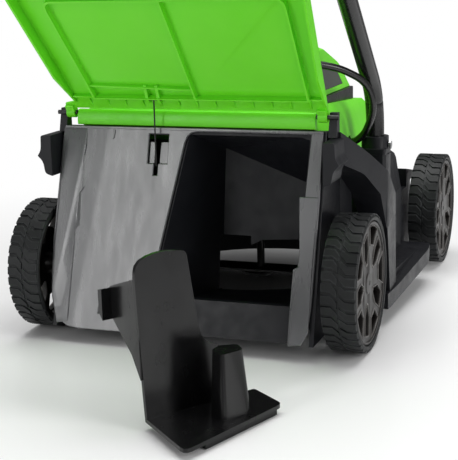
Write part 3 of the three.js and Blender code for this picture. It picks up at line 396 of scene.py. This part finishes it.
KEY_RED = moulded_material("key_red_plastic", (0.42, 0.02, 0.012), (0.6, 0.12, 0.08), gloss=(0.3, 0.4))
SMOKE = moulded_material("smoked_window", (0.004, 0.016, 0.003), (0.015, 0.05, 0.009), gloss=(0.05, 0.12),
                         wear_and_highlight=0.1, bump=0.0, coat=0.6)

NODE_LOOKS = {
    "deck_plastic": DECK, "panel_plastic": PANEL, "green_plastic": LIME, "black_plastic": SATIN_BLACK,
    "tyre_rubber": TYRE, "rim_plastic": RIM, "grip_foam": GRIP, "tube_paint": TUBE, "cable_rubber": CABLE,
    "steel": STEEL, "spring_wire": WIRE, "red_plastic": KEY_RED, "smoke_plastic": SMOKE,
}


def paint(piece, material):
    piece.data.materials.clear()
    piece.data.materials.append(material)


for part in frame["record"]["subparts"]:
    paint(NODES[part["node"]], NODE_LOOKS[part["material_slot"]])
for piece in (cable_lower, cable_upper):
    paint(piece, CABLE)
for name in ("blade", "motor_rotor", "blade_bolt", "height_lever", "height_link"):
    paint(NODES[name], BLADE_STEEL)


# ---- piece helpers -------------------------------------------------------------------------------
def shade(mesh, angle=32):
    mesh.polygons.foreach_set("use_smooth", [True] * len(mesh.polygons))
    mesh.set_sharp_from_angle(angle=math.radians(angle))


def finish_piece(name, bm, material, body, replaces=(), angle=32, edge=None, segments=2):
    """Turns a bmesh whose points are in the row frame into a piece that rides on a body."""
    bmesh.ops.recalc_face_normals(bm, faces=bm.faces)
    mesh = bpy.data.meshes.new(name)
    bm.to_mesh(mesh)
    bm.free()
    piece = bpy.data.objects.new(name, mesh)
    put_in_scene(piece)
    paint(piece, material)
    shade(mesh, angle)
    if edge:
        rounding = piece.modifiers.new("rounded_edges", "BEVEL")
        rounding.width = edge
        rounding.segments = segments
        rounding.limit_method = "ANGLE"
        rounding.angle_limit = math.radians(angle)
        rounding.use_clamp_overlap = True
        rounding.harden_normals = True
    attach(piece, body)
    if replaces:
        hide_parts(*replaces)
    return piece


MERGE_DISTANCE = 2e-5
SOFT_ANGLE = 28


def soften(cad_node, edge, material=None, segments=2):
    """A copy of a CAD node with its facets merged and its edges rounded."""
    source = NODES[cad_node]
    bm = bmesh.new()
    bm.from_mesh(source.data)
    bmesh.ops.remove_doubles(bm, verts=bm.verts, dist=MERGE_DISTANCE)
    bmesh.ops.dissolve_degenerate(bm, edges=bm.edges, dist=MERGE_DISTANCE)
    bmesh.ops.dissolve_limit(bm, angle_limit=math.radians(0.6), verts=bm.verts, edges=bm.edges)
    slot = next(p["material_slot"] for p in frame["record"]["subparts"] if p["node"] == cad_node)
    return finish_piece(f"{cad_node}_moulding", bm, material or NODE_LOOKS[slot], source["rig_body"],
                        [cad_node], angle=SOFT_ANGLE, edge=edge, segments=segments)


# ---- wheels --------------------------------------------------------------------------------------
# Wheels are drawn in millimetres, with the axle along Z and the outer face upwards.
WHEEL = {"radius": 90, "half": 23, "tread": 87.9}
WELD_MM = 0.01
TYRE_STEPS, RING_STEPS, HUB_STEPS = 76, 64, 40
TREAD_BARS = 38


def to_row(bm, turn):
    """Moves a bmesh drawn in its own millimetres to its place in the row frame."""
    bmesh.ops.scale(bm, vec=(MM, MM, MM), verts=bm.verts)
    bmesh.ops.transform(bm, matrix=turn, verts=bm.verts)


def revolve(bm, profile, steps):
    """Spins a closed profile of (radius, along) points about Z."""
    loop = [bm.verts.new((radius, 0, along)) for radius, along in profile]
    edges = [bm.edges.new((a, b)) for a, b in zip(loop, loop[1:] + loop[:1])]
    bmesh.ops.spin(bm, geom=loop + edges, cent=(0, 0, 0), axis=(0, 0, 1), angle=2 * math.pi, steps=steps,
                   use_duplicate=False)
    bmesh.ops.remove_doubles(bm, verts=bm.verts, dist=WELD_MM)


def add_block(bm, lower, upper):
    """A solid between two matching loops of points."""
    low = [bm.verts.new(p) for p in lower]
    high = [bm.verts.new(p) for p in upper]
    bm.faces.new(low[::-1])
    bm.faces.new(high)
    for i, _ in enumerate(low):
        k = (i + 1) % len(low)
        bm.faces.new((low[i], low[k], high[k], high[i]))


def on_tread(across, around, radius):
    angle = around / WHEEL["radius"]
    return Vector((radius * math.cos(angle), radius * math.sin(angle), across))


def tread_bar(bm, side, start):
    """One low block of the tread: straight from the shoulder, then slanting to the middle of the tyre."""
    outline = [(22.4, -5.6), (9.5, -5.6), (0.9, -12.4), (0.9, -3.4), (8.4, 5.6), (22.4, 5.6)]
    inset = [(21.6, -4.9), (9.8, -4.9), (1.5, -11.0), (1.5, -3.7), (8.7, 4.9), (21.6, 4.9)]
    lower = [on_tread(side * w, start + side * s, WHEEL["tread"] - 0.6) for w, s in outline]
    upper = [on_tread(side * w, start + side * s, WHEEL["radius"] - 0.3) for w, s in inset]
    add_block(bm, lower, upper)


def add_tyre(node_name, turn, body):
    bm = bmesh.new()
    h = WHEEL["half"]
    half_profile = [(80.6, h - 4), (81.4, h - 1.2), (83.4, h - 0.1), (85.6, h - 0.3), (87.2, h - 1.8),
                    (WHEEL["tread"], h - 5)]
    profile = half_profile + [(r, -z) for r, z in reversed(half_profile)]
    revolve(bm, profile, TYRE_STEPS)
    pitch = 2 * math.pi * WHEEL["radius"] / TREAD_BARS
    for i in range(TREAD_BARS):
        tread_bar(bm, 1, i * pitch)
        tread_bar(bm, -1, (i + 0.5) * pitch)
    to_row(bm, turn)
    finish_piece(f"{node_name}_tread", bm, TYRE, body, [node_name], angle=40)


SPOKES = 5
DISH_RISE, DISH_START, DISH_RUN = 2.6, 20, 40
LIP_FACE = 16.9
LIP_SUNK = 0.4
LIP_SECTION = ((1.0, 0), (1.03, 1.6), (1.09, 1.6), (1.12, 0))  # growth about the window's middle, height


def polar(radius, degrees):
    return radius * math.cos(math.radians(degrees)), radius * math.sin(math.radians(degrees))


def arc(radius, start, end, steps):
    return [polar(radius, start + (end - start) * i / steps) for i in range(steps + 1)]


def outline_middle(outline):
    return tuple(sum(values) / len(outline) for values in zip(*outline))


def rim_windows():
    """The outlines of the rim's openings: a short pocket at each spoke and a long wedge between spokes."""
    windows = []
    for i in range(SPOKES):
        short, long = 21 + 360 // SPOKES * i, 57 + 360 // SPOKES * i
        windows.append(arc(50, short - 11, short + 11, 2) + arc(73.6, short + 16.5, short - 16.5, 6))
        windows.append(arc(29, long - 6, long + 6, 1) + [polar(46, long + 15)]
                       + arc(68, long + 9, long - 9, 4) + [polar(46, long - 15)])
    return windows


def flat_sheet(outlines, half_depth, rounding, height):
    """A flat sheet with holes, made from filled outlines in millimetres, as a mesh that lies at a height."""
    data = bpy.data.curves.new("sheet_outline", "CURVE")
    data.dimensions = "2D"
    data.fill_mode = "BOTH"
    data.extrude = half_depth
    data.bevel_depth = rounding
    data.bevel_resolution = 2
    data.offset = -rounding
    for points in outlines:
        spline = data.splines.new("POLY")
        spline.use_cyclic_u = True
        spline.points.add(len(points) - 1)
        for knot, (x, y) in zip(spline.points, points):
            knot.co = (x, y, 0, 1)
    holder = bpy.data.objects.new("sheet_outline", data)
    put_in_scene(holder)
    bpy.context.view_layer.update()
    mesh = bpy.data.meshes.new_from_object(holder.evaluated_get(bpy.context.evaluated_depsgraph_get()))
    bpy.data.objects.remove(holder)
    bm = bmesh.new()
    bm.from_mesh(mesh)
    bmesh.ops.remove_doubles(bm, verts=bm.verts, dist=WELD_MM)
    bmesh.ops.translate(bm, vec=(0, 0, height), verts=bm.verts)
    bpy.data.meshes.remove(mesh)
    return bm


def dish(away):
    """How far the rim's face stands out at a distance from the axle."""
    return DISH_RISE * min(max((away - DISH_START) / DISH_RUN, 0), 1)


def add_window_lip(bm, outline):
    """A raised lip round one opening of the rim, which add_rim colours as a painted highlight."""
    middle_x, middle_y = outline_middle(outline)
    rings = []
    for grow, up in LIP_SECTION:
        ring = []
        for x, y in outline:
            px, py = middle_x + (x - middle_x) * grow, middle_y + (y - middle_y) * grow
            top = LIP_FACE + dish(math.hypot(px, py))
            ring.append(bm.verts.new((px, py, top + up - LIP_SUNK)))
        rings.append(ring)
    for inner, outer in zip(rings, rings[1:] + rings[:1]):
        for i, _ in enumerate(inner):
            k = (i + 1) % len(inner)
            bm.faces.new((inner[i], inner[k], outer[k], outer[i]))


def add_rim(node_name, turn, body):
    windows = rim_windows()
    bm = flat_sheet([arc(77, 0, 355, 71)] + windows, 3.2, 1.3, 12.5)
    for vert in bm.verts:
        vert.co.z += dish(math.hypot(vert.co.x, vert.co.y))
    ring = [(75, -19), (80.4, -19), (80.4, 20), (79, 21.4), (77, 21.4), (75.6, 20.2), (75, 16)]
    revolve(bm, ring, RING_STEPS)
    hub = [(0.01, -19), (17, -19), (17, 8), (24, 10), (24, 15.2), (20, 16.6), (0.01, 16.6)]
    revolve(bm, hub, HUB_STEPS)
    to_row(bm, turn)
    finish_piece(f"{node_name}_spokes", bm, RIM, body, [node_name], angle=34)
    lips = bmesh.new()
    for outline in windows:
        add_window_lip(lips, outline)
    to_row(lips, turn)
    # The lips take the paler rim colour, a painted highlight round each opening.
    finish_piece(f"{node_name}_window_lips", lips, RIM_LIP_HIGHLIGHT, body, (), angle=50, edge=0.0004)


def add_hub_cap(node_name, turn, body):
    bm = bmesh.new()
    profile = [(0.01, 16.4), (15, 16.4), (15, 17.6), (13.6, 18.8), (3.4, 19.6), (2.6, 18.4), (0.01, 18.4)]
    revolve(bm, profile, HUB_STEPS)
    to_row(bm, turn)
    finish_piece(f"{node_name}_disc", bm, RIM, body, [node_name], angle=30)


for end in ("rear", "front"):
    for side_name, side in (("left", -1), ("right", 1)):
        centre = middle(f"tyre_{end}_{side_name}")
        place = Matrix.Translation(centre) @ Matrix.Rotation(side * math.pi / 2, 4, "Y")
        wheel_body = f"wheel_{end}_{side_name}"
        add_tyre(f"tyre_{end}_{side_name}", place, wheel_body)
        add_rim(f"rim_{end}_{side_name}", place, wheel_body)
        add_hub_cap(f"hub_cap_{end}_{side_name}", place, wheel_body)


# ---- handle tubes --------------------------------------------------------------------------------
def knee_path(points, bend, steps=8):
    """Straight stretches with rounded knees, from points of the row frame; bend is in millimetres."""
    route = [points[0]]
    for before, corner, after in zip(points, points[1:], points[2:]):
        start = corner + (before - corner).normalized() * bend * MM
        end = corner + (after - corner).normalized() * bend * MM
        for i in range(steps + 1):
            t = i / steps
            route.append(start * (1 - t) ** 2 + corner * 2 * t * (1 - t) + end * t * t)
    return route + [points[-1]]


def add_tube(name, node_name, points, bend, radius_mm, body, material):
    piece = add_curve(name, knee_path(points, bend), radius_mm, smooth=False, rounds=7)
    paint(piece, material)
    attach(piece, body)
    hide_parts(node_name)


TUBE_RADIUS = 12.5
UPPER_X = 178
LOWER_X = 205
GRIP_DISTANCE = 690  # millimetres up from the fold bolt
OVERLAP = 16  # how far each tube passes the fold bolt
for side_name, side in (("left", -1), ("right", 1)):
    x = LOWER_X * side
    add_tube(f"lower_tube_{side_name}", f"lower_handle_{side_name}",
             [at(x, 170, 236), at(x, 170, 286), at(x, 155, 324), on_handle(OVERLAP, x)], 24, TUBE_RADIUS,
             "deck", TUBE)
add_tube("upper_tube", "upper_handle", [on_handle(-OVERLAP, -UPPER_X), on_handle(GRIP_DISTANCE, -UPPER_X),
                                        on_handle(GRIP_DISTANCE, UPPER_X), on_handle(-OVERLAP, UPPER_X)],
         70, TUBE_RADIUS, "upper_handle", TUBE)


# ---- mouldings -----------------------------------------------------------------------------------
for name, edge in (("deck_shell", 0.0022), ("motor_cover", 0.0026), ("lid_frame", 0.0022),
                   ("battery_tray", 0.0012), ("rear_panel", 0.0012), ("bag_hook_left", 0.0016),
                   ("bag_hook_right", 0.0016), ("rear_flap", 0.0007), ("handle_socket_left", 0.001),
                   ("handle_socket_right", 0.001), ("switch_box", 0.002), ("battery_pack", 0.002),
                   ("safety_key", 0.001), ("cam_lever_left", 0.001), ("cam_lever_right", 0.001)):
    soften(name, edge)
soften("mulch_plug", 0.0013, PLUG_BLACK, segments=3)


# ---- rear panel details --------------------------------------------------------------------------
PANEL_FOOT = (-80, 22)
PANEL_TOP = (-5, 290)
PLATE_SUNK = 0.6
PANEL_TILT = math.atan2(PANEL_TOP[1] - PANEL_FOOT[1], PANEL_TOP[0] - PANEL_FOOT[0])


def panel_point(x, z, out=0.0):
    """A point on the panel's outer face at a height, or `out` millimetres in front of it."""
    y = PANEL_FOOT[0] + (z - PANEL_FOOT[1]) / math.tan(PANEL_TILT)
    return at(x, y - math.sin(PANEL_TILT) * out, z + math.cos(PANEL_TILT) * out)


def panel_plate(bm, outline, thick, slope=0.8):
    """A thin raised plate on the panel, its upper edge drawn in a little all round."""
    middle_x, middle_z = outline_middle(outline)
    lower = [panel_point(x, z, -PLATE_SUNK) for x, z in outline]
    upper = []
    for x, z in outline:
        away = Vector((x - middle_x, z - middle_z))
        drawn = away - away.normalized() * slope
        upper.append(panel_point(middle_x + drawn.x, middle_z + drawn.y, thick))
    add_block(bm, lower, upper)


bm = bmesh.new()
left_band = [(-185, 283), (-150, 283), (-149, 262), (-151, 250), (-148, 208), (-153, 202), (-151, 176),
             (-151, 155), (-157, 146), (-157, 122), (-159, 29), (-176, 27), (-186, 60), (-188.5, 120),
             (-187, 200)]
panel_plate(bm, left_band, 2.0, 5.5)
right_channel = [(153.5, 205), (178.5, 205), (177, 120), (176.5, 40), (168, 24), (152.5, 24), (152.5, 66),
                 (153, 114), (159.5, 121)]
panel_plate(bm, right_channel, 1.2, 1.2)
top_rail = [(-184, 285), (178, 285), (178, 281.8), (-184, 281.8)]
panel_plate(bm, top_rail, 1.0, 0.5)
gate_rib = [(-112, 281), (-108, 281), (-109, 270), (-111, 268)]
panel_plate(bm, gate_rib, 1.6, 0.6)
finish_piece("rear_panel_bands", bm, PANEL, "deck", (), angle=30, edge=0.0007, segments=3)

CHEEK_FOOT, CHEEK_TOP = 239.5, 267
CHEEK_BACK, CHEEK_FRONT = -6.5, -4.5
bm = bmesh.new()
for x0, x1 in ((-58.4, -50.8), (-43.2, -31.8)):
    corners = [(x0, CHEEK_FOOT), (x1, CHEEK_FOOT), (x1, CHEEK_TOP), (x0, CHEEK_TOP)]
    add_block(bm, [panel_point(x, z, CHEEK_BACK) for x, z in corners],
              [panel_point(x, z, CHEEK_FRONT) for x, z in corners])
finish_piece("panel_window_cheeks", bm, PANEL, "deck", (), angle=30, edge=0.0004)


# ---- cover lip and flap pivots -------------------------------------------------------------------
ROD_Y, ROD_Z, ROD_RADIUS = 2, 302, 3
ROD_FACETS = 16

bm = bmesh.new()
section = [(6.2, 285.6), (-2.6, 286.4), (-3.4, 290), (-2.8, 300), (1.5, 306.6), (6.2, 307)]
add_block(bm, [at(-167, y, z) for y, z in section], [at(167.5, y, z) for y, z in section])
finish_piece("cover_rear_lip", bm, LIME, "deck", (), angle=40, edge=0.0007)

bm = bmesh.new()
for side in (-1, 1):
    for x0, x1 in ((168.6, 170.6), (182.9, 197.5)):
        angles = [2 * math.pi * i / ROD_FACETS for i in range(ROD_FACETS)]
        circle = [(ROD_Y + ROD_RADIUS * math.cos(a), ROD_Z + ROD_RADIUS * math.sin(a)) for a in angles]
        add_block(bm, [at(side * x0, y, z) for y, z in circle], [at(side * x1, y, z) for y, z in circle])
finish_piece("hinge_rod_ends", bm, WIRE, "deck", ["hinge_rod"], angle=40)
